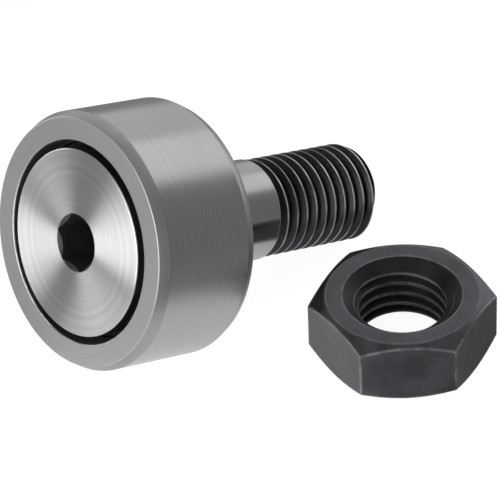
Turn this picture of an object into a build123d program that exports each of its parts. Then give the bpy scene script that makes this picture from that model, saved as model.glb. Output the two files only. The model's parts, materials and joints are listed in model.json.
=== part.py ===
from build123d import *
import math
import os

# A stud-type cam follower: a needle roller track wheel on a threaded stud, with its loose hex nut.
# Each piece is drawn about its own axis. The stud's pieces run along +Y from the ring's front face,
# at station 0, to the threaded end, and then lie down as the follower rests on a flat surface, on
# the ring's rear rim and the end of the stud, with +Z up and the mounting shoulder at the origin.

# Outer ring
ring_radius = 15.0
ring_width = 14.0
ring_chamfer_length = 1.2
ring_chamfer_depth = 0.6
recess_radius = 11.75
recess_depth = 3.7
recess_edge = 0.12

# Needles and cage between the stud's raceway and the ring's
raceway_step = 0.5
needle_radius = 1.25
needle_count = 14
needle_edge = 0.2
needle_play = 0.02
cage_side_play = 0.15
cage_radial_play = 0.12
cage_rail_width = 0.95
pocket_play = 0.05

# Seals in the ring's two recesses
seal_thickness = 0.45
seal_side_gap = 0.35
seal_bore_gap = 0.06
seal_collar_length = 1.3
seal_collar_thickness = 0.4

# Stud with its flange, and the side plate pressed on behind the ring
flange_radius = 10.85
flange_proud = 0.2
flange_edge = 0.12
plate_seat_step = 1.0
plate_seat_setback = 0.2
shoulder_proud = 0.6
plate_edge = 0.3
shank_radius = 6.0
shank_end = 25.6
stud_end = 41.5

# Thread, right-handed, shared by the stud and the nut
thread_pitch = 1.5
flank_slope = math.tan(math.radians(30))
crest_flat = 0.19
root_flat = 0.3
stud_crest_radius = 5.85
runout_step = 0.2
runout_length = 1.5
tip_chamfer = 0.6
thread_play = 0.12
ridge_bury = 0.06

# Hex socket in the flange, grease way and its plug
socket_across_flats = 6.0
socket_depth = 5.3
socket_point_depth = 1.2
socket_rim_radius = 3.4
grease_wall = 1.8
grease_hole_radius = 1.5
grease_feed_radius = 0.8
plug_length = 3.0
plug_inset = 0.4
plug_dimple_radius = 0.7
plug_dimple_depth = 0.6

# Nut, and where it lies: right of and behind the ring's front face, with one corner's bearing
nut_across_flats = 19.0
nut_height = 8.0
nut_face_radius = 8.95
nut_chamfer_slope = math.tan(math.radians(30))
nut_top_rim_radius = 6.95
nut_top_countersink = 1.5
nut_base_rim_radius = 6.4
nut_base_countersink = 1.05
nut_right = 21.7
nut_behind = 29.8
nut_corner_bearing = -66.5

# What follows from the sizes above
plate_seat_radius = shank_radius + plate_seat_step
raceway_radius = plate_seat_radius + raceway_step
flange_back = recess_depth - seal_thickness - seal_side_gap
plate_front = ring_width - flange_back
shoulder = ring_width + shoulder_proud
ring_raceway_radius = raceway_radius + 2 * (needle_radius + needle_play)
pitch_radius = (raceway_radius + ring_raceway_radius) / 2
cage_front = flange_back + cage_side_play
cage_back = plate_front - cage_side_play
pocket_front = cage_front + cage_rail_width
pocket_back = cage_back - cage_rail_width
thread_depth = (thread_pitch - crest_flat - root_flat) / (2 * flank_slope)
stud_root_radius = stud_crest_radius - thread_depth
nut_crest_radius = stud_root_radius + thread_play
nut_root_radius = stud_crest_radius + thread_play
tip_start = stud_end - tip_chamfer
tip_radius = stud_crest_radius - tip_chamfer
grease_hole_end = socket_depth + socket_point_depth - flange_proud + grease_wall
plug_end = stud_end - plug_inset


def lying_tilt():
    """Slope of the stud, in degrees, with the rear rim and the stud's end on one surface."""
    rim = ring_width - ring_chamfer_length
    on_crest = math.atan2(ring_radius - stud_crest_radius, tip_start - rim)
    on_tip = math.atan2(ring_radius - tip_radius, stud_end - rim)
    return math.degrees(min(on_crest, on_tip))


tilt = lying_tilt()
rim_from_shoulder = ring_width - ring_chamfer_length - shoulder
surface_height = -(ring_radius * math.cos(math.radians(tilt))
                   + rim_from_shoulder * math.sin(math.radians(tilt)))
lying = Rotation(-tilt, 0, 0) * Pos(0, -shoulder, 0)
beside = Pos(nut_right, nut_behind - shoulder * math.cos(math.radians(tilt)), surface_height)
along_stud = Rotation(-90, 0, 0)


def turned(*outline):
    """Solid of revolution about Y from (radius, station) points."""
    return revolve(make_face(Polyline(*outline, close=True)), Axis.Y)


def bar(radius, start, end):
    """Round bar on the Y axis between two stations."""
    round_bar = Cylinder(radius, end - start, align=(Align.CENTER, Align.CENTER, Align.MIN))
    return Pos(0, start, 0) * along_stud * round_bar


def helical_ridge(base_radius, crest_radius, turns):
    """Thread form that climbs about Z from height 0, from just behind its base to its tip."""
    bury = math.copysign(ridge_bury, base_radius - crest_radius)
    tip_half = crest_flat / 2
    base_half = tip_half + (abs(crest_radius - base_radius) + ridge_bury) * flank_slope
    form = Polyline((base_radius + bury, -base_half), (crest_radius, -tip_half),
                    (crest_radius, tip_half), (base_radius + bury, base_half), close=True)
    section = Plane.XZ * make_face(form)
    climb = Helix(thread_pitch, turns * thread_pitch, base_radius)
    return sweep(section, path=climb, is_frenet=True)


def make_ring():
    half = [
        (recess_radius, recess_depth), (recess_radius, recess_edge),
        (recess_radius + recess_edge, 0), (ring_radius - ring_chamfer_depth, 0),
        (ring_radius, ring_chamfer_length)]
    front = [(ring_raceway_radius, recess_depth)] + half
    back = [(radius, ring_width - station) for radius, station in reversed(front)]
    return turned(*front, *back)


def make_stud():
    blank = turned(
        (0, -flange_proud), (flange_radius - flange_edge, -flange_proud),
        (flange_radius, flange_edge - flange_proud), (flange_radius, flange_back),
        (raceway_radius, flange_back), (raceway_radius, plate_front),
        (plate_seat_radius, plate_front), (plate_seat_radius, shoulder - plate_seat_setback),
        (shank_radius, shoulder - plate_seat_setback), (shank_radius, shank_end),
        (shank_radius - runout_step, shank_end + runout_step),
        (stud_root_radius, shank_end + runout_length), (0, shank_end + runout_length))
    return blank + threaded_end() - hex_socket() - grease_way()


def threaded_end():
    """Root bar with the ridge on it. Both start inside the shank, where the thread runs out."""
    start = shank_end - thread_pitch
    turns = (stud_end - start) / thread_pitch + 1
    ridge = Pos(0, start, 0) * along_stud * helical_ridge(stud_root_radius, stud_crest_radius, turns)
    tip = turned(
        (0, start), (shank_radius, start),
        (shank_radius, tip_start - (shank_radius - stud_crest_radius)), (tip_radius, stud_end),
        (0, stud_end))
    return bar(stud_root_radius, start, stud_end) + (ridge & tip)


def hex_socket():
    hexagon = RegularPolygon(socket_across_flats / 2, 6, major_radius=False)
    prism = extrude(hexagon, socket_depth)
    point = Pos(0, 0, socket_depth) * Cone(
        socket_across_flats / 2, 0, socket_point_depth, align=(Align.CENTER, Align.CENTER, Align.MIN))
    rim_depth = socket_rim_radius - socket_across_flats / 2
    rim = Cone(socket_rim_radius, socket_across_flats / 2, rim_depth,
               align=(Align.CENTER, Align.CENTER, Align.MIN))
    return Pos(0, -flange_proud, 0) * along_stud * (prism + point + rim)


def grease_way():
    feed = Pos(0, grease_hole_end + grease_feed_radius, 0) * Cylinder(
        grease_feed_radius, raceway_radius + 1, align=(Align.CENTER, Align.CENTER, Align.MIN))
    return bar(grease_hole_radius, grease_hole_end, stud_end) + feed


def make_plug():
    plug = bar(grease_hole_radius, plug_end - plug_length, plug_end)
    return plug - bar(plug_dimple_radius, plug_end - plug_dimple_depth, plug_end)


def make_side_plate():
    return turned(
        (plate_seat_radius, plate_front), (flange_radius, plate_front),
        (flange_radius, shoulder - plate_edge), (flange_radius - plate_edge, shoulder),
        (plate_seat_radius, shoulder))


def make_seal():
    """Front seal: a washer against the recess's floor with a collar along its wall."""
    washer_front = recess_depth - seal_thickness
    return turned(
        (ring_raceway_radius + seal_bore_gap, washer_front),
        (ring_raceway_radius + seal_bore_gap, recess_depth), (recess_radius, recess_depth),
        (recess_radius, recess_depth - seal_collar_length),
        (recess_radius - seal_collar_thickness, recess_depth - seal_collar_length),
        (recess_radius - seal_collar_thickness, washer_front))


def make_cage():
    inner = raceway_radius + cage_radial_play
    outer = ring_raceway_radius - cage_radial_play
    sleeve = bar(outer, cage_front, cage_back) - bar(inner, cage_front, cage_back)
    pocket = bar(needle_radius + pocket_play, pocket_front, pocket_back)
    return sleeve - [place * pocket for place in needle_places()]


def needle_places():
    """Turn about the stud and step out to each needle's axis."""
    return [Rotation(0, k * 360 / needle_count, 0) * Pos(0, 0, pitch_radius)
            for k in range(needle_count)]


def make_needle():
    start = pocket_front + pocket_play
    end = pocket_back - pocket_play
    return turned(
        (0, start), (needle_radius - needle_edge, start), (needle_radius, start + needle_edge),
        (needle_radius, end - needle_edge), (needle_radius - needle_edge, end), (0, end))


def make_nut():
    """Hex nut chamfered and countersunk on both faces, drawn upright with its base at height 0."""
    corner = nut_across_flats / math.sqrt(3) + 1
    drop = (corner - nut_face_radius) * nut_chamfer_slope
    cheese = upright(
        (0, 0), (nut_face_radius, 0), (corner, drop), (corner, nut_height - drop),
        (nut_face_radius, nut_height), (0, nut_height))
    hexagon = RegularPolygon(nut_across_flats / 2, 6, major_radius=False)
    bore = upright(
        (0, 0), (nut_base_rim_radius, 0), (nut_crest_radius, nut_base_countersink),
        (nut_crest_radius, nut_height - nut_top_countersink), (nut_top_rim_radius, nut_height),
        (0, nut_height))
    turns = nut_height / thread_pitch + 2
    groove = Pos(0, 0, -thread_pitch) * helical_ridge(nut_crest_radius, nut_root_radius, turns)
    return (extrude(hexagon, nut_height) & cheese) - bore - groove


def upright(*outline):
    """Solid of revolution about Z from (radius, height) points."""
    return revolve(Plane.XZ * make_face(Polyline(*outline, close=True)), Axis.Z)


def make_pieces():
    mirrored = Pos(0, ring_width, 0) * Rotation(180, 0, 0)
    follower = {
        "stud": make_stud(),
        "grease_plug": make_plug(),
        "side_plate": make_side_plate(),
        "outer_ring": make_ring(),
        "front_seal": make_seal(),
        "rear_seal": mirrored * make_seal(),
        "needle_cage": make_cage()}
    for number, place in enumerate(needle_places(), start=1):
        follower[f"needle_{number:02d}"] = place * make_needle()
    pieces = {name: lying * solid for name, solid in follower.items()}
    pieces["nut"] = beside * Rotation(0, 0, nut_corner_bearing) * make_nut()
    return pieces


os.makedirs("parts", exist_ok=True)
for name, solid in make_pieces().items():
    export_step(solid, f"parts/{name}.step")
    print(f"{name}: {solid.volume:.1f} mm3, {len(solid.solids())} solid")
print(f"tilt {tilt:.2f} degrees, surface at {surface_height:.3f} mm")
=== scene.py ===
import json
import math

import bpy
from mathutils import Matrix, Vector


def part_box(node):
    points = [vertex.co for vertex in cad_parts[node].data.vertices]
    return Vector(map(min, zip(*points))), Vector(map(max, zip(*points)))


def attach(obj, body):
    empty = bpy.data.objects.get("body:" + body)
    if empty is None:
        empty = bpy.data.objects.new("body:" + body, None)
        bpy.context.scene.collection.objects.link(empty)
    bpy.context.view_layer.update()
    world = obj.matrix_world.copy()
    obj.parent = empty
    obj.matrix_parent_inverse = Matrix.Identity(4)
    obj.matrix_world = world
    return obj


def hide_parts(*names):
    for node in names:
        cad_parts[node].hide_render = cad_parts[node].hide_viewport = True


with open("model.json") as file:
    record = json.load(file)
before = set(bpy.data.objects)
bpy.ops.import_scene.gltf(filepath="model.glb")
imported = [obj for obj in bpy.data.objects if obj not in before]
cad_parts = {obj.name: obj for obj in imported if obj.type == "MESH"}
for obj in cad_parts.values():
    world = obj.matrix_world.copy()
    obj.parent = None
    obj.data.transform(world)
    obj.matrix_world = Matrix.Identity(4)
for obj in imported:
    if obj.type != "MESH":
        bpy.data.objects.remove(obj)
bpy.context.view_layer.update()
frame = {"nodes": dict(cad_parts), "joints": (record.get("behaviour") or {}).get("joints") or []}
mm = 0.001

# The follower's own axis runs from the ring's face to the threaded end, and dips by the tilt.
axis = Vector(next(j["axis"] for j in frame["joints"] if j["name"] == "ring_spin"))
tilt = math.asin(-axis.z)
ontoAxis = Matrix.Rotation(-tilt, 4, "X") @ Matrix.Rotation(-math.pi / 2, 4, "X")
hexTurn = math.radians(30)     # a hexagon's corners to its flats
threadSlope = math.tan(math.radians(30))
halfTurnDegrees = 180.0
turnRadians = 2 * math.pi


def reach(node):
    # first station, last station and largest radius of a CAD node, measured along the axis
    points = [v.co for v in frame["nodes"][node].data.vertices]
    stations = [p.dot(axis) for p in points]
    radii = [(p - axis * s).length for p, s in zip(points, stations)]
    return min(stations), max(stations), max(radii)


faceStation, backStation, ringRadius = reach("outer_ring")
studStart, studEnd, flangeRadius = reach("stud")
plateStart, plateEnd, _ = reach("side_plate")
_, frontSealEnd, recessRadius = reach("front_seal")
rearSealStart, _, _ = reach("rear_seal")
nutLow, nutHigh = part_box("nut")
nutCentre = (nutLow + nutHigh) / 2
floorHeight = nutLow.z


# Modelling helpers

def deselectAll():
    bpy.ops.object.select_all(action="DESELECT")


def choose(piece):
    deselectAll()
    piece.select_set(True)
    bpy.context.view_layer.objects.active = piece


def applied(piece, kind, **values):
    # adds one modifier and applies it
    choose(piece)
    modifier = piece.modifiers.new(kind.title(), kind)
    for name, value in values.items():
        setattr(modifier, name, value)
    bpy.ops.object.modifier_apply(modifier=modifier.name)


def lathe(name, profile, steps, closed):
    # (radius, height) pairs about Z: a circle, then one extruded and resized loop per pair
    deselectAll()
    radius, height = profile[0]
    bpy.ops.mesh.primitive_circle_add(vertices=steps, radius=radius, location=(0, 0, height))
    piece = bpy.context.active_object
    piece.name = name
    bpy.ops.object.transform_apply(location=True, rotation=True, scale=True)
    bpy.ops.object.mode_set(mode="EDIT")
    bpy.ops.mesh.select_mode(type="VERT")
    bpy.ops.mesh.select_all(action="SELECT")
    if not closed:
        bpy.ops.mesh.edge_face_add()
        bpy.ops.mesh.select_mode(type="EDGE")
    for (r0, h0), (r1, h1) in zip(profile, profile[1:] + profile[:1] if closed else profile[1:]):
        bpy.ops.mesh.extrude_edges_move(TRANSFORM_OT_translate={"value": (0, 0, h1 - h0)})
        bpy.ops.transform.resize(value=(r1 / r0, r1 / r0, 1), center_override=(0, 0, h1))
    if not closed:
        bpy.ops.mesh.edge_face_add()
    bpy.ops.mesh.select_all(action="SELECT")
    bpy.ops.mesh.remove_doubles(threshold=0.001 * mm)
    bpy.ops.mesh.normals_make_consistent(inside=False)
    bpy.ops.object.mode_set(mode="OBJECT")
    return piece


def screwRod(name, thread, start, turns, steps):
    # one tooth's outline, extruded point by point, and wound up the Z axis
    deselectAll()
    bpy.ops.mesh.primitive_plane_add(size=mm, location=(thread["root"], 0, 0))
    rod = bpy.context.active_object
    rod.name = name
    bpy.ops.object.transform_apply(location=True, rotation=True, scale=True)
    bpy.ops.object.mode_set(mode="EDIT")
    bpy.ops.mesh.select_mode(type="VERT")
    bpy.ops.mesh.select_all(action="SELECT")
    bpy.ops.mesh.merge(type="CENTER")
    pitch = thread["pitch"]
    rise = thread["crest"] - thread["root"]
    crestStart = (pitch - thread["crestFlat"]) / 2
    crestEnd = (pitch + thread["crestFlat"]) / 2
    flank = rise * thread["slope"]
    ease = thread["ease"]
    outline = [
        (0, crestStart - flank), (rise - ease, crestStart - ease * thread["slope"]),
        (rise, crestStart + ease / 2), (rise, crestEnd - ease / 2),
        (rise - ease, crestEnd + ease * thread["slope"]), (0, crestEnd + flank), (0, pitch)]
    out, up = 0, 0
    for nextOut, nextUp in outline:
        bpy.ops.mesh.extrude_vertices_move(
            TRANSFORM_OT_translate={"value": (nextOut - out, 0, nextUp - up)})
        out, up = nextOut, nextUp
    bpy.ops.object.mode_set(mode="OBJECT")
    applied(rod, "SCREW", axis="Z", screw_offset=pitch, iterations=turns, steps=steps,
            render_steps=steps, use_smooth_shade=True)
    bpy.ops.object.mode_set(mode="EDIT")
    bpy.ops.mesh.select_all(action="SELECT")
    bpy.ops.mesh.remove_doubles(threshold=0.002 * mm)
    for height, above in ((1.3 * pitch, False), ((turns - 0.3) * pitch, True)):
        bpy.ops.mesh.select_all(action="SELECT")
        bpy.ops.mesh.bisect(plane_co=(0, 0, height), plane_no=(0, 0, 1), use_fill=True,
                            clear_inner=not above, clear_outer=above, threshold=0.0001 * mm)
    bpy.ops.mesh.select_all(action="SELECT")
    bpy.ops.mesh.normals_make_consistent(inside=False)
    bpy.ops.object.mode_set(mode="OBJECT")
    rod.location.z = start - pitch
    choose(rod)
    bpy.ops.object.transform_apply(location=True, rotation=True, scale=True)
    return rod


def combine(piece, other, operation):
    applied(piece, "BOOLEAN", object=other, operation=operation, solver="EXACT")
    bpy.data.objects.remove(other)


def softEdges(piece, width, segments=2, angle=24):
    applied(piece, "BEVEL", width=width, segments=segments, limit_method="ANGLE",
            angle_limit=math.radians(angle), use_clamp_overlap=True)


def evenShading(piece):
    choose(piece)
    bpy.ops.object.shade_smooth_by_angle(angle=math.radians(32), keep_sharp_edges=False)
    applied(piece, "WEIGHTED_NORMAL", keep_sharp=True, weight=80)


def place(piece, matrix):
    piece.matrix_world = matrix
    choose(piece)
    bpy.ops.object.transform_apply(location=True, rotation=True, scale=True)


def paint(piece, *materials):
    piece.data.materials.clear()
    for material in materials:
        piece.data.materials.append(material)


def assignByPlace(piece, rule):
    # rule gives a slot number from a face's radius and height about Z
    for face in piece.data.polygons:
        face.material_index = rule(face.center.xy.length, face.center.z, face.normal)


# Node helpers

def addNode(tree, kind, settings=None, inputs=None):
    node = tree.nodes.new(kind)
    for name, value in (settings or {}).items():
        setattr(node, name, value)
    for name, value in (inputs or {}).items():
        if isinstance(value, bpy.types.NodeSocket):
            tree.links.new(value, node.inputs[name])
        else:
            node.inputs[name].default_value = value
    return node


def sums(tree, operation, a, b=0.0, c=0.0):
    return addNode(tree, "ShaderNodeMath", {"operation": operation}, {0: a, 1: b, 2: c}).outputs[0]


def fromTo(tree, value, low, high, toLow=0.0, toHigh=1.0):
    # smooth step between two values
    return addNode(tree, "ShaderNodeMapRange", {"interpolation_type": "SMOOTHSTEP"}, {
        "Value": value, "From Min": low, "From Max": high, "To Min": toLow,
        "To Max": toHigh}).outputs["Result"]


def between(tree, angle, band, low, high, outside, inside):
    # one value inside a band of angles in degrees and another outside it, with a soft edge
    middle, half = (band[low] + band[high]) / 2, (band[high] - band[low]) / 2
    off = sums(tree, "WRAP", sums(tree, "SUBTRACT", angle, middle), halfTurnDegrees,
               -halfTurnDegrees)
    return fromTo(tree, sums(tree, "ABSOLUTE", off), half - band["edge"] / 2,
                  half + band["edge"] / 2, inside, outside)


def blendColours(tree, amount, first, second):
    node = addNode(tree, "ShaderNodeMix", {"data_type": "RGBA"})
    for name, value in (("Factor_Float", amount), ("A_Color", first), ("B_Color", second)):
        socket = next(s for s in node.inputs if s.identifier == name)
        if isinstance(value, bpy.types.NodeSocket):
            tree.links.new(value, socket)
        else:
            socket.default_value = value
    return next(s for s in node.outputs if s.identifier == "Result_Color")


def newGroup(name, inputs, outputs):
    tree = bpy.data.node_groups.new(name, "ShaderNodeTree")
    for label, default in inputs:
        kind = "NodeSocketVector" if isinstance(default, tuple) else "NodeSocketFloat"
        tree.interface.new_socket(label, in_out="INPUT", socket_type=kind).default_value = default
    for label in outputs:
        tree.interface.new_socket(label, in_out="OUTPUT", socket_type="NodeSocketFloat")
    return tree, tree.nodes.new("NodeGroupInput").outputs, tree.nodes.new("NodeGroupOutput").inputs


def grey(level, cool=0.0):
    return (level * (1 - cool), level, level * (1 + cool * 1.5), 1)


def steel(level):
    # bare steel, a touch less green than grey
    return (level * 1.01, level * 0.985, level * 1.01, 1)


def blued(level):
    # black oxide, nearer violet than grey
    return (level, level * 0.93, level * 1.1, 1)


# Shared effects

def makeAxialPlace():
    # station along the stud and distance from it, both in millimetres
    tree, given, put = newGroup("axialPlace", [("Point", (0, 0, 0))], ["Station", "Radius"])
    level = addNode(tree, "ShaderNodeMapping", {"vector_type": "TEXTURE"}, {
        "Vector": given["Point"], "Rotation": (-tilt, 0, 0), "Scale": (mm, mm, mm)})
    parts = addNode(tree, "ShaderNodeSeparateXYZ", inputs={"Vector": level.outputs[0]}).outputs
    square = sums(tree, "MULTIPLY_ADD", parts["X"], parts["X"],
                  sums(tree, "MULTIPLY", parts["Z"], parts["Z"]))
    tree.links.new(parts["Y"], put["Station"])
    tree.links.new(sums(tree, "SQRT", square), put["Radius"])
    return tree


def makeToolMarks():
    # fine lines left by a tool or wheel: along is where a point lies across the lines
    tree, given, put = newGroup("toolMarks", [
        ("Along", 0.0), ("Pitch", 0.3), ("Waver", 0.3), ("Point", (0, 0, 0))], ["Height", "Tone"])
    drift = addNode(tree, "ShaderNodeTexNoise", {"noise_dimensions": "3D"}, {
        "Vector": given["Point"], "Scale": 140.0, "Detail": 2.0}).outputs["Fac"]
    shifted = sums(tree, "MULTIPLY_ADD", sums(tree, "SUBTRACT", drift, 0.5), given["Waver"],
                   given["Along"])
    phase = sums(tree, "DIVIDE", shifted, given["Pitch"])
    swing = sums(tree, "SINE", sums(tree, "MULTIPLY", phase, turnRadians))
    wave = sums(tree, "MULTIPLY_ADD", swing, 0.5, 0.5)
    coarse = addNode(tree, "ShaderNodeTexNoise", {"noise_dimensions": "1D"}, {
        "W": phase, "Scale": 0.55, "Detail": 1.0}).outputs["Fac"]
    fine = addNode(tree, "ShaderNodeTexNoise", {"noise_dimensions": "1D"}, {
        "W": phase, "Scale": 2.6, "Detail": 3.0, "Roughness": 0.7}).outputs["Fac"]
    height = sums(tree, "MULTIPLY_ADD", wave, 0.55, sums(tree, "MULTIPLY", fine, 0.45))
    tree.links.new(height, put["Height"])
    tone = sums(tree, "MULTIPLY_ADD", coarse, 0.6, sums(tree, "MULTIPLY", height, 0.4))
    tree.links.new(fromTo(tree, tone, 0.3, 0.7), put["Tone"])
    return tree


# where wear starts and is full: how far an edge's rounded normal leans off the flat one
wearLean = {
    "edgeStart": 0.9995, "edgeFull": 0.965, "cornerStart": 0.84, "cornerFull": 0.74,
    "cornerReach": 2.4, "samples": 6}


def makeEdgeWear():
    # outside edges rubbed bright, and brighter at the corners, broken up so it isn't even
    tree, given, put = newGroup("edgeWear", [
        ("Point", (0, 0, 0)), ("Reach", 0.12), ("Patchiness", 0.5)], ["Worn"])
    rounded = addNode(tree, "ShaderNodeBevel", {"samples": wearLean["samples"]}, {
        "Radius": sums(tree, "MULTIPLY", given["Reach"], mm)})
    here = addNode(tree, "ShaderNodeNewGeometry").outputs["Normal"]
    lean = addNode(tree, "ShaderNodeVectorMath", {"operation": "DOT_PRODUCT"}, {
        0: rounded.outputs[0], 1: here}).outputs["Value"]
    edge = fromTo(tree, lean, wearLean["edgeStart"], wearLean["edgeFull"])
    wide = addNode(tree, "ShaderNodeBevel", {"samples": wearLean["samples"]}, {
        "Radius": sums(tree, "MULTIPLY", given["Reach"], wearLean["cornerReach"] * mm)})
    corner = addNode(tree, "ShaderNodeVectorMath", {"operation": "DOT_PRODUCT"}, {
        0: wide.outputs[0], 1: here}).outputs["Value"]
    atCorner = fromTo(tree, corner, wearLean["cornerStart"], wearLean["cornerFull"])
    edge = sums(tree, "MAXIMUM", edge, atCorner)
    patches = addNode(tree, "ShaderNodeTexNoise", inputs={
        "Vector": given["Point"], "Scale": 420.0, "Detail": 4.0, "Roughness": 0.65}).outputs["Fac"]
    cover = fromTo(tree, patches, 0.36, 0.6)
    kept = sums(tree, "SUBTRACT", 1.0, sums(tree, "MULTIPLY", given["Patchiness"],
                                            sums(tree, "SUBTRACT", 1.0, cover)))
    tree.links.new(sums(tree, "MULTIPLY", edge, kept), put["Worn"])
    return tree


def makeSmears():
    # soft oily patches and tiny specks
    tree, given, put = newGroup("smears", [("Point", (0, 0, 0)), ("Size", 1.0)],
                                ["Patch", "Speck", "Grain"])
    scaled = addNode(tree, "ShaderNodeVectorMath", {"operation": "SCALE"}, {
        0: given["Point"], "Scale": given["Size"]}).outputs[0]
    patch = addNode(tree, "ShaderNodeTexNoise", inputs={
        "Vector": scaled, "Scale": 120.0, "Detail": 4.0, "Roughness": 0.55}).outputs["Fac"]
    speck = addNode(tree, "ShaderNodeTexNoise", inputs={
        "Vector": scaled, "Scale": 1500.0, "Detail": 2.0}).outputs["Fac"]
    grain = addNode(tree, "ShaderNodeTexNoise", inputs={
        "Vector": scaled, "Scale": 5200.0, "Detail": 3.0, "Roughness": 0.7}).outputs["Fac"]
    tree.links.new(fromTo(tree, patch, 0.35, 0.65), put["Patch"])
    tree.links.new(fromTo(tree, speck, 0.66, 0.76), put["Speck"])
    tree.links.new(grain, put["Grain"])
    return tree


axialPlace = makeAxialPlace()
toolMarks = makeToolMarks()
edgeWear = makeEdgeWear()
smears = makeSmears()


def useGroup(tree, group, inputs):
    node = tree.nodes.new("ShaderNodeGroup")
    node.node_tree = group
    for name, value in inputs.items():
        if isinstance(value, bpy.types.NodeSocket):
            tree.links.new(value, node.inputs[name])
        else:
            node.inputs[name].default_value = value
    return node.outputs


def startMaterial(name, fixed):
    material = bpy.data.materials.new(name)
    material.use_nodes = True
    tree = material.node_tree
    shader = tree.nodes["Principled BSDF"]
    for label, value in fixed.items():
        shader.inputs[label].default_value = value
    point = addNode(tree, "ShaderNodeTexCoord").outputs["Object"]
    return material, tree, shader, point


def bump(tree, shader, height, strength, distance):
    node = addNode(tree, "ShaderNodeBump", inputs={
        "Strength": strength, "Distance": distance * mm, "Height": height})
    tree.links.new(node.outputs[0], shader.inputs["Normal"])


def turnDirection(tree, point, shader, outwards):
    # tells the shader which way its highlights stretch, at right angles to the tool's lines:
    # outwards from the stud's axis on a turned face, and along it on a ground diameter
    if outwards:
        level = addNode(tree, "ShaderNodeMapping", {"vector_type": "TEXTURE"}, {
            "Vector": point, "Rotation": (-tilt, 0, 0)})
        local = addNode(tree, "ShaderNodeVectorMath", {"operation": "MULTIPLY"}, {
            0: level.outputs[0], 1: (1, 0, 1)})
    else:
        local = addNode(tree, "ShaderNodeCombineXYZ", inputs={"Y": 1.0})
    dipped = addNode(tree, "ShaderNodeMapping", {"vector_type": "POINT"}, {
        "Vector": local.outputs[0], "Rotation": (-tilt, 0, 0)})
    world = addNode(tree, "ShaderNodeVectorTransform", {
        "vector_type": "VECTOR", "convert_from": "OBJECT", "convert_to": "WORLD"},
        {"Vector": dipped.outputs[0]})
    tree.links.new(world.outputs[0], shader.inputs["Tangent"])


def makeTurnedSteel(name, look):
    # a face turned on the lathe: rings about the stud
    material, tree, shader, point = startMaterial(name, {
        "Metallic": 1.0, "Anisotropic": look["stretch"]})
    onAxis = useGroup(tree, axialPlace, {"Point": point})
    marks = useGroup(tree, toolMarks, {
        "Along": onAxis["Radius"], "Pitch": look["pitch"], "Waver": look["waver"], "Point": point})
    oil = useGroup(tree, smears, {"Point": point, "Size": 1.0})
    worn = useGroup(tree, edgeWear, {"Point": point, "Reach": 0.16, "Patchiness": 0.4})
    colour = blendColours(tree, marks["Tone"], look["dark"], look["light"])
    colour = blendColours(tree, sums(tree, "MULTIPLY", oil["Patch"], 0.22), colour, look["stain"])
    colour = blendColours(tree, sums(tree, "MULTIPLY", worn["Worn"], 0.6), colour, look["edge"])
    tree.links.new(colour, shader.inputs["Base Color"])
    rough = sums(tree, "MULTIPLY_ADD", oil["Patch"], 0.05, look["rough"])
    tree.links.new(sums(tree, "MULTIPLY_ADD", marks["Height"], 0.06, rough),
                   shader.inputs["Roughness"])
    bump(tree, shader, marks["Height"], look["bump"], 0.02)
    turnDirection(tree, point, shader, True)
    return material


def makeGroundSteel(name, look):
    # ground between wheels: hair lines round the piece, a soft grey sheen along it
    material, tree, shader, point = startMaterial(name, {
        "Metallic": 1.0, "Anisotropic": look["stretch"]})
    onAxis = useGroup(tree, axialPlace, {"Point": point})
    marks = useGroup(tree, toolMarks, {
        "Along": onAxis["Station"], "Pitch": look["pitch"], "Waver": look["waver"], "Point": point})
    oil = useGroup(tree, smears, {"Point": point, "Size": look["patches"]})
    worn = useGroup(tree, edgeWear, {"Point": point, "Reach": 0.2, "Patchiness": 0.5})
    colour = blendColours(tree, marks["Tone"], look["dark"], look["light"])
    colour = blendColours(tree, sums(tree, "MULTIPLY", oil["Patch"], look["stained"]), colour,
                          look["stain"])
    colour = blendColours(tree, sums(tree, "MULTIPLY", worn["Worn"], 0.55), colour, look["edge"])
    colour = blendColours(tree, sums(tree, "MULTIPLY", oil["Speck"], 0.12), colour, look["stain"])
    tree.links.new(colour, shader.inputs["Base Color"])
    rough = sums(tree, "MULTIPLY_ADD", oil["Patch"], 0.07, look["rough"])
    tree.links.new(sums(tree, "MULTIPLY_ADD", oil["Grain"], 0.08, rough),
                   shader.inputs["Roughness"])
    surface = sums(tree, "MULTIPLY_ADD", marks["Height"], 0.6,
                   sums(tree, "MULTIPLY", oil["Grain"], 0.4))
    bump(tree, shader, surface, look["bump"], 0.01)
    turnDirection(tree, point, shader, False)
    return material


def makeFaceSteel(name, look):
    # ring face: surface ground, with faint rings and a matt grain
    material, tree, shader, point = startMaterial(name, {
        "Metallic": 1.0, "Anisotropic": look["stretch"]})
    onAxis = useGroup(tree, axialPlace, {"Point": point})
    marks = useGroup(tree, toolMarks, {
        "Along": onAxis["Radius"], "Pitch": look["pitch"], "Waver": 0.5, "Point": point})
    oil = useGroup(tree, smears, {"Point": point, "Size": 1.3})
    worn = useGroup(tree, edgeWear, {"Point": point, "Reach": 0.22, "Patchiness": 0.45})
    colour = blendColours(tree, marks["Tone"], look["dark"], look["light"])
    colour = blendColours(tree, sums(tree, "MULTIPLY", oil["Patch"], 0.35), colour, look["stain"])
    colour = blendColours(tree, sums(tree, "MULTIPLY", worn["Worn"], 0.7), colour, look["edge"])
    tree.links.new(colour, shader.inputs["Base Color"])
    tree.links.new(sums(tree, "MULTIPLY_ADD", oil["Grain"], 0.12, look["rough"]),
                   shader.inputs["Roughness"])
    surface = sums(tree, "MULTIPLY_ADD", marks["Height"], 0.35,
                   sums(tree, "MULTIPLY", oil["Grain"], 0.65))
    bump(tree, shader, surface, look["bump"], 0.012)
    turnDirection(tree, point, shader, True)
    return material


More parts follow.
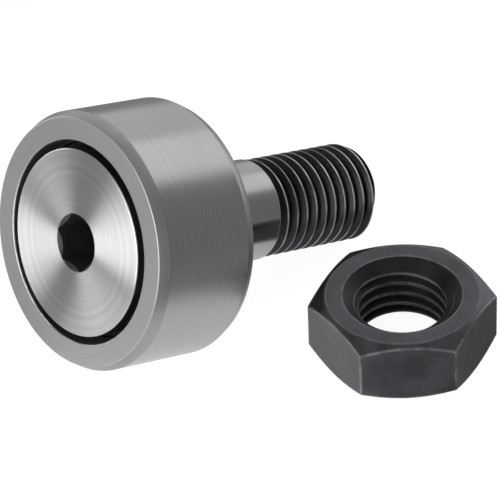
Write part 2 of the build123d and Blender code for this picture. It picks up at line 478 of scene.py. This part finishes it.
def makeBlackOxide(name, look):
    # hot-blackened steel, oiled: nearly black, bright where it has been rubbed
    material, tree, shader, point = startMaterial(name, {
        "Specular IOR Level": look["gloss"], "Specular Tint": look["tint"]})
    oil = useGroup(tree, smears, {"Point": point, "Size": look["patches"]})
    worn = useGroup(tree, edgeWear, {
        "Point": point, "Reach": look["reach"], "Patchiness": look["broken"]})
    rubbed = sums(tree, "MULTIPLY", worn["Worn"], look["wear"])
    if "crest" in look:
        onAxis = useGroup(tree, axialPlace, {"Point": point})
        onCrest = fromTo(tree, onAxis["Radius"], look["crest"] - 0.05, look["crest"] - 0.01)
        breaks = addNode(tree, "ShaderNodeTexNoise", inputs={
            "Vector": point, "Scale": 260.0, "Detail": 3.0}).outputs["Fac"]
        crests = sums(tree, "MULTIPLY", onCrest, fromTo(tree, breaks, 0.3, 0.6, 0.25, 1.0))
        rubbed = sums(tree, "MAXIMUM", rubbed, sums(tree, "MULTIPLY", crests, look["crestWear"]))
    hazy = sums(tree, "MULTIPLY", oil["Patch"], fromTo(tree, oil["Grain"], 0.42, 0.62))
    rubbed = sums(tree, "MAXIMUM", rubbed, sums(tree, "MULTIPLY", hazy, look["haze"]))
    colour = blendColours(tree, oil["Patch"], look["dark"], look["light"])
    colour = blendColours(tree, sums(tree, "MULTIPLY", oil["Speck"], 0.35), colour, look["dust"])
    colour = blendColours(tree, rubbed, colour, look["bare"])
    tree.links.new(colour, shader.inputs["Base Color"])
    tree.links.new(sums(tree, "MULTIPLY_ADD", rubbed, 0.9, 0.05), shader.inputs["Metallic"])
    rough = sums(tree, "MULTIPLY_ADD", oil["Patch"], 0.08, look["rough"])
    tree.links.new(sums(tree, "MULTIPLY_ADD", oil["Grain"], 0.1, rough),
                   shader.inputs["Roughness"])
    surface = sums(tree, "MULTIPLY_ADD", oil["Grain"], 0.6,
                   sums(tree, "MULTIPLY", oil["Patch"], 0.4))
    bump(tree, shader, surface, look["bump"], 0.015)
    return material


def makeSealRubber(name, look):
    material, tree, shader, point = startMaterial(name, {"Specular IOR Level": 0.3})
    oil = useGroup(tree, smears, {"Point": point, "Size": 1.5})
    colour = blendColours(tree, oil["Patch"], look["dark"], look["light"])
    tree.links.new(colour, shader.inputs["Base Color"])
    tree.links.new(sums(tree, "MULTIPLY_ADD", oil["Grain"], 0.2, look["rough"]),
                   shader.inputs["Roughness"])
    bump(tree, shader, oil["Grain"], 0.4, 0.02)
    return material


discFinish = makeTurnedSteel("turnedFlangeSteel", {
    "stretch": 0.95, "pitch": 0.33, "waver": 0.04, "rough": 0.3, "bump": 0.22,
    "dark": steel(0.66), "light": steel(0.76), "stain": steel(0.6), "edge": steel(0.9)})
ringFinish = makeGroundSteel("groundRingSteel", {
    "stretch": 0.35, "pitch": 0.16, "waver": 0.25, "rough": 0.17, "bump": 0.14, "patches": 0.5,
    "stained": 0.25, "dark": steel(0.42), "light": steel(0.48), "stain": steel(0.37),
    "edge": steel(0.7)})
ringFaceFinish = makeFaceSteel("surfaceGroundRingFace", {
    "stretch": 0.0, "pitch": 0.2, "rough": 0.42, "bump": 0.22, "dark": steel(0.4),
    "light": steel(0.43), "stain": steel(0.37), "edge": steel(0.8)})
chamferFinish = makeGroundSteel("turnedRingChamfer", {
    "stretch": 0.2, "pitch": 0.2, "waver": 0.2, "rough": 0.3, "bump": 0.2, "patches": 1.0,
    "stained": 0.2, "dark": steel(0.37), "light": steel(0.43), "stain": steel(0.35),
    "edge": steel(0.75)})
shankFinish = makeGroundSteel("groundShankSteel", {
    "stretch": 0.4, "pitch": 0.12, "waver": 0.15, "rough": 0.14, "bump": 0.1, "patches": 0.8,
    "stained": 0.3, "dark": steel(0.4), "light": steel(0.5), "stain": steel(0.34),
    "edge": steel(0.65)})
plateFinish = makeFaceSteel("pressedSidePlateSteel", {
    "stretch": 0.2, "pitch": 0.3, "rough": 0.32, "bump": 0.3, "dark": steel(0.34),
    "light": steel(0.42), "stain": steel(0.3), "edge": steel(0.6)})
threadFinish = makeBlackOxide("blackenedThread", {
    "haze": 0.05, "tint": (0.95, 0.89, 1.0, 1),
    "gloss": 0.42, "patches": 1.2, "reach": 0.12, "broken": 0.7, "wear": 0.3, "crest": 5.85,
    "crestWear": 0.95, "dark": grey(0.006), "light": grey(0.012), "dust": grey(0.05),
    "bare": steel(0.62), "rough": 0.24, "bump": 0.3})
socketFinish = makeBlackOxide("blackenedHexSocket", {
    "haze": 0.05, "tint": (0.95, 0.89, 1.0, 1),
    "gloss": 0.6, "patches": 1.5, "reach": 0.08, "broken": 0.7, "wear": 0.2, "dark": grey(0.02),
    "light": grey(0.04), "dust": grey(0.08), "bare": steel(0.3), "rough": 0.3, "bump": 0.25})
nutFinish = makeBlackOxide("blackOxideNut", {
    "haze": 0.09, "tint": (0.95, 0.89, 1.0, 1),
    "gloss": 0.9, "patches": 1.6, "reach": 0.42, "broken": 0.75, "wear": 0.62,
    "dark": blued(0.005), "light": blued(0.02), "dust": blued(0.05), "bare": steel(0.5),
    "rough": 0.22, "bump": 0.5})
nutBoreFinish = makeBlackOxide("blackOxideNutBore", {
    "haze": 0.05, "tint": (0.95, 0.89, 1.0, 1),
    "gloss": 0.3, "patches": 1.4, "reach": 0.3, "broken": 0.6, "wear": 0.5,
    "dark": blued(0.004), "light": blued(0.008), "dust": blued(0.03), "bare": steel(0.4),
    "rough": 0.34, "bump": 0.4})
rubberFinish = makeSealRubber("sealRubber", {
    "dark": grey(0.006), "light": grey(0.012), "rough": 0.55})
cageFinish = makeFaceSteel("pressedCageSteel", {
    "stretch": 0.1, "pitch": 0.4, "rough": 0.38, "bump": 0.3, "dark": steel(0.25),
    "light": steel(0.34), "stain": steel(0.22), "edge": steel(0.5)})
needleFinish = makeGroundSteel("polishedNeedleSteel", {
    "stretch": 0.2, "pitch": 0.1, "waver": 0.1, "rough": 0.12, "bump": 0.08, "patches": 1.5,
    "stained": 0.15, "dark": steel(0.52), "light": steel(0.6), "stain": steel(0.45),
    "edge": steel(0.75)})
plugFinish = makeFaceSteel("plainPlugSteel", {
    "stretch": 0.2, "pitch": 0.18, "rough": 0.3, "bump": 0.3, "dark": steel(0.3),
    "light": steel(0.42), "stain": steel(0.26), "edge": steel(0.6)})
print("materials made")


# Outer ring, from its raceway round to its raceway

outerRing = {
    "raceway": 10.04 * mm, "recess": recessRadius, "recessDepth": 3.7 * mm,
    "recessEdge": 0.12 * mm, "chamferDepth": 0.6 * mm, "chamferLength": 1.2 * mm,
    "softness": 0.1 * mm, "steps": 256}


def makeOuterRing(ring):
    edge = ringRadius - ring["chamferDepth"]
    mouth = ring["recess"] + ring["recessEdge"]
    front = [
        (ring["raceway"], ring["recessDepth"]), (ring["recess"], ring["recessDepth"]),
        (ring["recess"], ring["recessEdge"]), (mouth, 0), (edge, 0),
        (ringRadius, ring["chamferLength"])]
    profile = [(r, faceStation + h) for r, h in front]
    profile += [(r, backStation - h) for r, h in reversed(front)]
    piece = lathe("outerRing", profile, ring["steps"], True)
    softEdges(piece, ring["softness"], 3)
    evenShading(piece)
    paint(piece, ringFinish, ringFaceFinish, chamferFinish)

    def finishAt(radius, height, normal):
        if abs(normal.z) > 0.97:
            return 1
        onRim = radius > edge - 0.1 * mm and abs(normal.z) > 0.04
        return 2 if onRim or radius < mouth + 0.05 * mm else 0
    assignByPlace(piece, finishAt)
    place(piece, ontoAxis)
    return piece


ringPiece = makeOuterRing(outerRing)
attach(ringPiece, "outer_ring")
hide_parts("outer_ring")
print("outer ring made")


# Stud: flange, raceway, shank and thread, with its hex socket and the mouth of the grease hole

studThread = {
    "root": 4.975 * mm, "crest": 5.85 * mm, "pitch": 1.5 * mm, "crestFlat": 0.19 * mm,
    "slope": threadSlope, "ease": 0.05 * mm, "steps": 120}
studBody = {
    "flangeEdge": 0.12 * mm, "flangeBack": -11.7 * mm, "raceway": 7.5 * mm,
    "plateSeat": 7.0 * mm, "seatEnd": -0.2 * mm, "shank": 6.0 * mm, "shankEnd": 11.0 * mm,
    "runout": 1.5 * mm, "runoutStep": 0.2 * mm, "threadFirst": 9.5 * mm, "tipChamfer": 0.6 * mm,
    "softness": 0.07 * mm, "steps": 192}
socket = {
    "acrossFlats": 6.0 * mm, "depth": 5.3 * mm, "point": 1.2 * mm, "rim": 3.4 * mm,
    "greaseHole": 1.5 * mm, "greaseDepth": 4.2 * mm, "steps": 96, "drillSteps": 48}


def makeStud(stud, thread, hole):
    profile = [
        (flangeRadius - stud["flangeEdge"], studStart),
        (flangeRadius, studStart + stud["flangeEdge"]), (flangeRadius, stud["flangeBack"]),
        (stud["raceway"], stud["flangeBack"]), (stud["raceway"], plateStart),
        (stud["plateSeat"], plateStart), (stud["plateSeat"], stud["seatEnd"]),
        (stud["shank"], stud["seatEnd"]), (stud["shank"], stud["shankEnd"]),
        (stud["shank"] - stud["runoutStep"], stud["shankEnd"] + stud["runoutStep"]),
        (thread["root"], stud["shankEnd"] + stud["runout"])]
    piece = lathe("threadedStud", profile, stud["steps"], False)
    softEdges(piece, stud["softness"], 3)

    reachBack = stud["threadFirst"]
    turns = math.ceil((studEnd - reachBack) / thread["pitch"]) + 3
    rod = screwRod("threadRod", thread, reachBack + thread["pitch"] / 2, turns, thread["steps"])
    tipStart = studEnd - stud["tipChamfer"]
    envelope = lathe("threadEnvelope", [
        (thread["crest"] + 0.1 * mm, reachBack + thread["pitch"]),
        (thread["crest"] + 0.1 * mm, tipStart - 0.1 * mm),
        (thread["crest"] - stud["tipChamfer"], studEnd)], stud["steps"], False)
    combine(rod, envelope, "INTERSECT")
    combine(piece, rod, "UNION")

    deselectAll()
    bpy.ops.mesh.primitive_cylinder_add(
        vertices=6, radius=hole["acrossFlats"] / math.sqrt(3), depth=hole["depth"] + mm,
        location=(0, 0, studStart + (hole["depth"] - mm) / 2), rotation=(0, 0, hexTurn))
    key = bpy.context.active_object
    bpy.ops.object.transform_apply(location=True, rotation=True, scale=True)
    key.name = "keyCutter"
    bpy.ops.object.mode_set(mode="EDIT")
    bpy.ops.mesh.select_all(action="DESELECT")
    bpy.ops.object.mode_set(mode="OBJECT")
    for face in key.data.polygons:
        face.select = face.normal.z > 0.9
    bpy.ops.object.mode_set(mode="EDIT")
    bpy.ops.mesh.select_mode(type="FACE")
    bpy.ops.mesh.extrude_region_move(TRANSFORM_OT_translate={"value": (0, 0, hole["point"])})
    bpy.ops.transform.resize(value=(0.02, 0.02, 1))
    bpy.ops.object.mode_set(mode="OBJECT")
    combine(piece, key, "DIFFERENCE")
    half = hole["acrossFlats"] / 2
    past = 0.2 * mm     # how far a cutter runs past the metal
    rimCutter = lathe("rimCutter", [
        (hole["rim"] + past, studStart - past),
        (half - past, studStart + hole["rim"] - half + past)], hole["steps"], False)
    combine(piece, rimCutter, "DIFFERENCE")
    drill = lathe("greaseDrill", [
        (hole["greaseHole"], studEnd - hole["greaseDepth"]), (hole["greaseHole"], studEnd + mm)],
        hole["drillSteps"], False)
    combine(piece, drill, "DIFFERENCE")
    evenShading(piece)
    paint(piece, shankFinish, discFinish, threadFinish, socketFinish)

    def finishAt(radius, height, normal):
        if normal.z < -0.5 and height < studStart + 0.001 * mm:
            return 1
        if height < studStart + 0.14 * mm and radius > hole["rim"] + 0.1 * mm:
            return 1
        # ahead of the side plate, only the socket is this near the axis
        if height < plateStart and radius < hole["rim"] + 0.02 * mm:
            return 3
        return 2 if height > stud["shankEnd"] - 0.02 * mm else 0
    assignByPlace(piece, finishAt)
    place(piece, ontoAxis)
    return piece


studPiece = makeStud(studBody, studThread, socket)
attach(studPiece, "stud")
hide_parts("stud")
print("stud made")


# Side plate, pressed on behind the ring

sidePlate = {"seat": 7.0 * mm, "edge": 0.3 * mm, "softness": 0.08 * mm, "steps": 192}


def makeSidePlate(plate):
    piece = lathe("sidePlate", [
        (plate["seat"], plateStart), (flangeRadius, plateStart),
        (flangeRadius, plateEnd - plate["edge"]), (flangeRadius - plate["edge"], plateEnd),
        (plate["seat"], plateEnd)], plate["steps"], True)
    softEdges(piece, plate["softness"], 3)
    evenShading(piece)
    paint(piece, plateFinish)
    place(piece, ontoAxis)
    return piece


platePiece = makeSidePlate(sidePlate)
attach(platePiece, "stud")
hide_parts("side_plate")
print("side plate made")


# Seals: a washer on the recess's floor with a collar up its wall and a small lip

seal = {
    "bore": 10.1 * mm, "thickness": 0.45 * mm, "collar": 0.4 * mm, "collarLength": 1.3 * mm,
    "softness": 0.1 * mm, "steps": 192}


def makeSeal(name, floor, outwards, washer):
    inner = recessRadius - washer["collar"]
    profile = [
        (washer["bore"], 0), (recessRadius, 0), (recessRadius, washer["collarLength"]),
        (inner, washer["collarLength"]), (inner - 0.05 * mm, washer["thickness"]),
        (washer["bore"], washer["thickness"])]
    piece = lathe(name, [(r, floor + outwards * h) for r, h in profile], washer["steps"], True)
    softEdges(piece, washer["softness"], 3)
    evenShading(piece)
    paint(piece, rubberFinish)
    place(piece, ontoAxis)
    return piece


for node, floor, outwards in (("front_seal", frontSealEnd, -1), ("rear_seal", rearSealStart, 1)):
    name = node.split("_")[0] + "Seal"
    sealPiece = makeSeal(name, floor, outwards, seal)
    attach(sealPiece, "outer_ring")
    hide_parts(node)
print("seals made")


# Hex nut

nutThread = {
    "root": 5.095 * mm, "crest": 5.97 * mm, "pitch": 1.5 * mm, "crestFlat": 0.19 * mm,
    "slope": threadSlope, "ease": 0.04 * mm, "steps": 96}
hexNut = {
    "acrossFlats": 19.0 * mm, "faceRadius": 8.95 * mm, "topRim": 6.95 * mm, "topSink": 1.5 * mm,
    "baseRim": 6.4 * mm, "baseSink": 1.05 * mm, "chamfer": math.radians(30),
    "cornerBearing": -66.5, "softness": 0.24 * mm, "sliver": 0.05 * mm, "steps": 250}


def makeNut(nut, thread):
    height = nutHigh.z - nutLow.z
    corner = nut["acrossFlats"] / math.sqrt(3)
    deselectAll()
    bpy.ops.mesh.primitive_cylinder_add(
        vertices=6, radius=corner, depth=height, location=(0, 0, height / 2),
        rotation=(0, 0, hexTurn))
    piece = bpy.context.active_object
    piece.name = "hexNut"
    bpy.ops.object.transform_apply(location=True, rotation=True, scale=True)
    wide = corner + mm
    drop = (wide - nut["faceRadius"]) * math.tan(nut["chamfer"])
    cheese = lathe("nutChamfer", [
        (nut["faceRadius"], 0), (wide, drop), (wide, height - drop), (nut["faceRadius"], height)],
        nut["steps"], False)
    combine(piece, cheese, "INTERSECT")
    past = 0.2 * mm     # how far the reamer runs past the faces
    topSlope = (nut["topRim"] - thread["root"]) / nut["topSink"]
    baseSlope = (nut["baseRim"] - thread["root"]) / nut["baseSink"]
    reamer = lathe("nutReamer", [
        (nut["baseRim"] + past * baseSlope, -past), (thread["root"], nut["baseSink"]),
        (thread["root"], height - nut["topSink"]),
        (nut["topRim"] + past * topSlope, height + past)], nut["steps"], False)
    combine(piece, reamer, "DIFFERENCE")
    bpy.ops.object.mode_set(mode="EDIT")
    bpy.ops.mesh.select_all(action="SELECT")
    bpy.ops.mesh.remove_doubles(threshold=nut["sliver"])
    bpy.ops.object.mode_set(mode="OBJECT")
    softEdges(piece, nut["softness"], 3, 20)
    tap = screwRod("nutTap", thread, -2 * thread["pitch"], math.ceil(height / thread["pitch"]) + 5,
                   thread["steps"])
    combine(piece, tap, "DIFFERENCE")
    evenShading(piece)
    paint(piece, nutFinish, nutBoreFinish)
    assignByPlace(piece, lambda radius, height, normal: int(
        radius < nut["topRim"] - 0.1 * mm and abs(normal.z) < 0.95))
    turned = Matrix.Rotation(math.radians(nut["cornerBearing"]), 4, "Z")
    place(piece, Matrix.Translation((nutCentre.x, nutCentre.y, nutLow.z)) @ turned)
    return piece


nutPiece = makeNut(hexNut, nutThread)
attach(nutPiece, "nut")
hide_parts("nut")
print("nut made")


# Pieces kept from the CAD model

keptFinishes = {"needle_cage": cageFinish, "grease_plug": plugFinish}
keptFinishes.update({name: needleFinish for name in frame["nodes"]
                     if name.startswith("needle_") and name != "needle_cage"})
for name, finish in keptFinishes.items():
    frame["nodes"][name].data.materials.clear()
    frame["nodes"][name].data.materials.append(finish)
print("CAD pieces painted")


# Camera

camera = {
    "target": (13.80, 0.165, 4.36), "azimuth": 52.67, "elevation": 38.86, "distance": 430.0,
    "roll": 2.42, "lens": 274.14}


def makeCamera(view):
    azimuth, elevation = math.radians(view["azimuth"]), math.radians(view["elevation"])
    outwards = Vector((math.sin(azimuth) * math.cos(elevation),
                       -math.cos(azimuth) * math.cos(elevation), math.sin(elevation)))
    target = Vector(view["target"]) * mm
    deselectAll()
    bpy.ops.object.camera_add(location=target + outwards * view["distance"] * mm)
    eye = bpy.context.active_object
    turned = (-outwards).to_track_quat("-Z", "Y").to_matrix().to_4x4()
    turned = turned @ Matrix.Rotation(-math.radians(view["roll"]), 4, "Z")
    eye.matrix_world = Matrix.Translation(eye.location) @ turned
    eye.data.lens = view["lens"]
    eye.data.sensor_width = 36
    eye.data.clip_start = 0.01
    bpy.context.scene.camera = eye


makeCamera(camera)


# Floor, a small pale sheet. What the camera sees and what it lights with are set apart.

floorSheet = {
    "side": 0.15, "centre": (0.012, 0.006), "pale": 0.3, "glow": 0.93,
    "returned": 0.66, "far": 0.1, "poolFrom": 0.038, "poolTo": 0.066,
    "poolCentre": (-0.006, -0.028),
    "shades": [
        {"from": -152, "to": -128, "edge": 8, "kept": 0.05},
        {"from": 110, "to": 182, "edge": 20, "kept": 0.45}]}


def makeFloor(sheet):
    deselectAll()
    bpy.ops.mesh.primitive_plane_add(
        size=sheet["side"], location=(sheet["centre"][0], sheet["centre"][1], floorHeight))
    floor = bpy.context.active_object
    floor.name = "floor"
    bpy.ops.object.transform_apply(location=True, rotation=True, scale=True)
    material, tree, shader, point = startMaterial("paleFloor", {
        "Roughness": 0.9, "Specular IOR Level": 0.0, "Base Color": grey(sheet["pale"]),
        "Emission Color": grey(1.0)})
    # the light that the floor sends back is a pool round the follower, shaded on two sides
    foot = axis * faceStation
    parts = addNode(tree, "ShaderNodeSeparateXYZ", inputs={"Vector": point}).outputs
    away = addNode(tree, "ShaderNodeVectorMath", {"operation": "DISTANCE"}, {
        0: point, 1: (*sheet["poolCentre"], floorHeight)}).outputs["Value"]
    pool = fromTo(tree, away, sheet["poolFrom"], sheet["poolTo"], sheet["returned"], sheet["far"])
    fromFoot = sums(tree, "SUBTRACT", parts["Y"], foot.y)
    bearing = sums(tree, "DEGREES", sums(tree, "ARCTAN2", fromFoot, parts["X"]))
    for shade in sheet["shades"]:
        pool = sums(tree, "MULTIPLY", pool, between(tree, bearing, shade, "from", "to",
                                                    1.0, shade["kept"]))
    seen = addNode(tree, "ShaderNodeLightPath").outputs["Is Camera Ray"]
    strength = addNode(tree, "ShaderNodeMix", {"data_type": "FLOAT"}, {
        0: seen, 2: pool, 3: sheet["glow"]}).outputs[0]
    tree.links.new(strength, shader.inputs["Emission Strength"])
    paint(floor, material)
    return floor


makeFloor(floorSheet)


# Studio: soft cards all round, given by bearing and height in degrees as seen from the follower

studio = {
    "room": 0.25, "paleWall": 1.0,
    "cards": [
        {"from": 74, "to": 114, "low": -12, "high": 62, "edge": 4, "glow": 0.85},
        {"from": 114, "to": 176, "low": -4, "high": 62, "edge": 6, "glow": 0.5},
        {"from": -114, "to": -50, "low": -8, "high": 42, "edge": 10, "glow": 2.9},
        {"from": -186, "to": -148, "low": -16, "high": 14, "edge": 8, "glow": 1.5},
        {"from": -181, "to": 181, "low": 62, "high": 100, "edge": 10, "glow": 0.15}]}


def makeStudio(room):
    world = bpy.data.worlds.new("studio")
    bpy.context.scene.world = world
    world.use_nodes = True
    tree = world.node_tree
    tree.nodes.clear()
    direction = addNode(tree, "ShaderNodeTexCoord").outputs["Generated"]
    parts = addNode(tree, "ShaderNodeSeparateXYZ", inputs={"Vector": direction}).outputs
    bearing = sums(tree, "DEGREES", sums(tree, "ARCTAN2", parts["Y"], parts["X"]))
    height = sums(tree, "DEGREES", sums(tree, "ARCSINE", parts["Z"]))
    light = room["room"]
    for card in room["cards"]:
        mask = sums(tree, "MULTIPLY", between(tree, bearing, card, "from", "to", 0.0, 1.0),
                    between(tree, height, card, "low", "high", 0.0, 1.0))
        light = sums(tree, "MULTIPLY_ADD", mask, card["glow"], light)
    seen = addNode(tree, "ShaderNodeLightPath").outputs["Is Camera Ray"]
    strength = addNode(tree, "ShaderNodeMix", {"data_type": "FLOAT"}, {
        0: seen, 2: light, 3: room["paleWall"]}).outputs[0]
    glow = addNode(tree, "ShaderNodeBackground", inputs={"Color": grey(1.0), "Strength": strength})
    out = addNode(tree, "ShaderNodeOutputWorld")
    tree.links.new(glow.outputs[0], out.inputs[0])


makeStudio(studio)
bpy.context.scene.view_settings.view_transform = "Standard"
print("camera, floor and studio set")
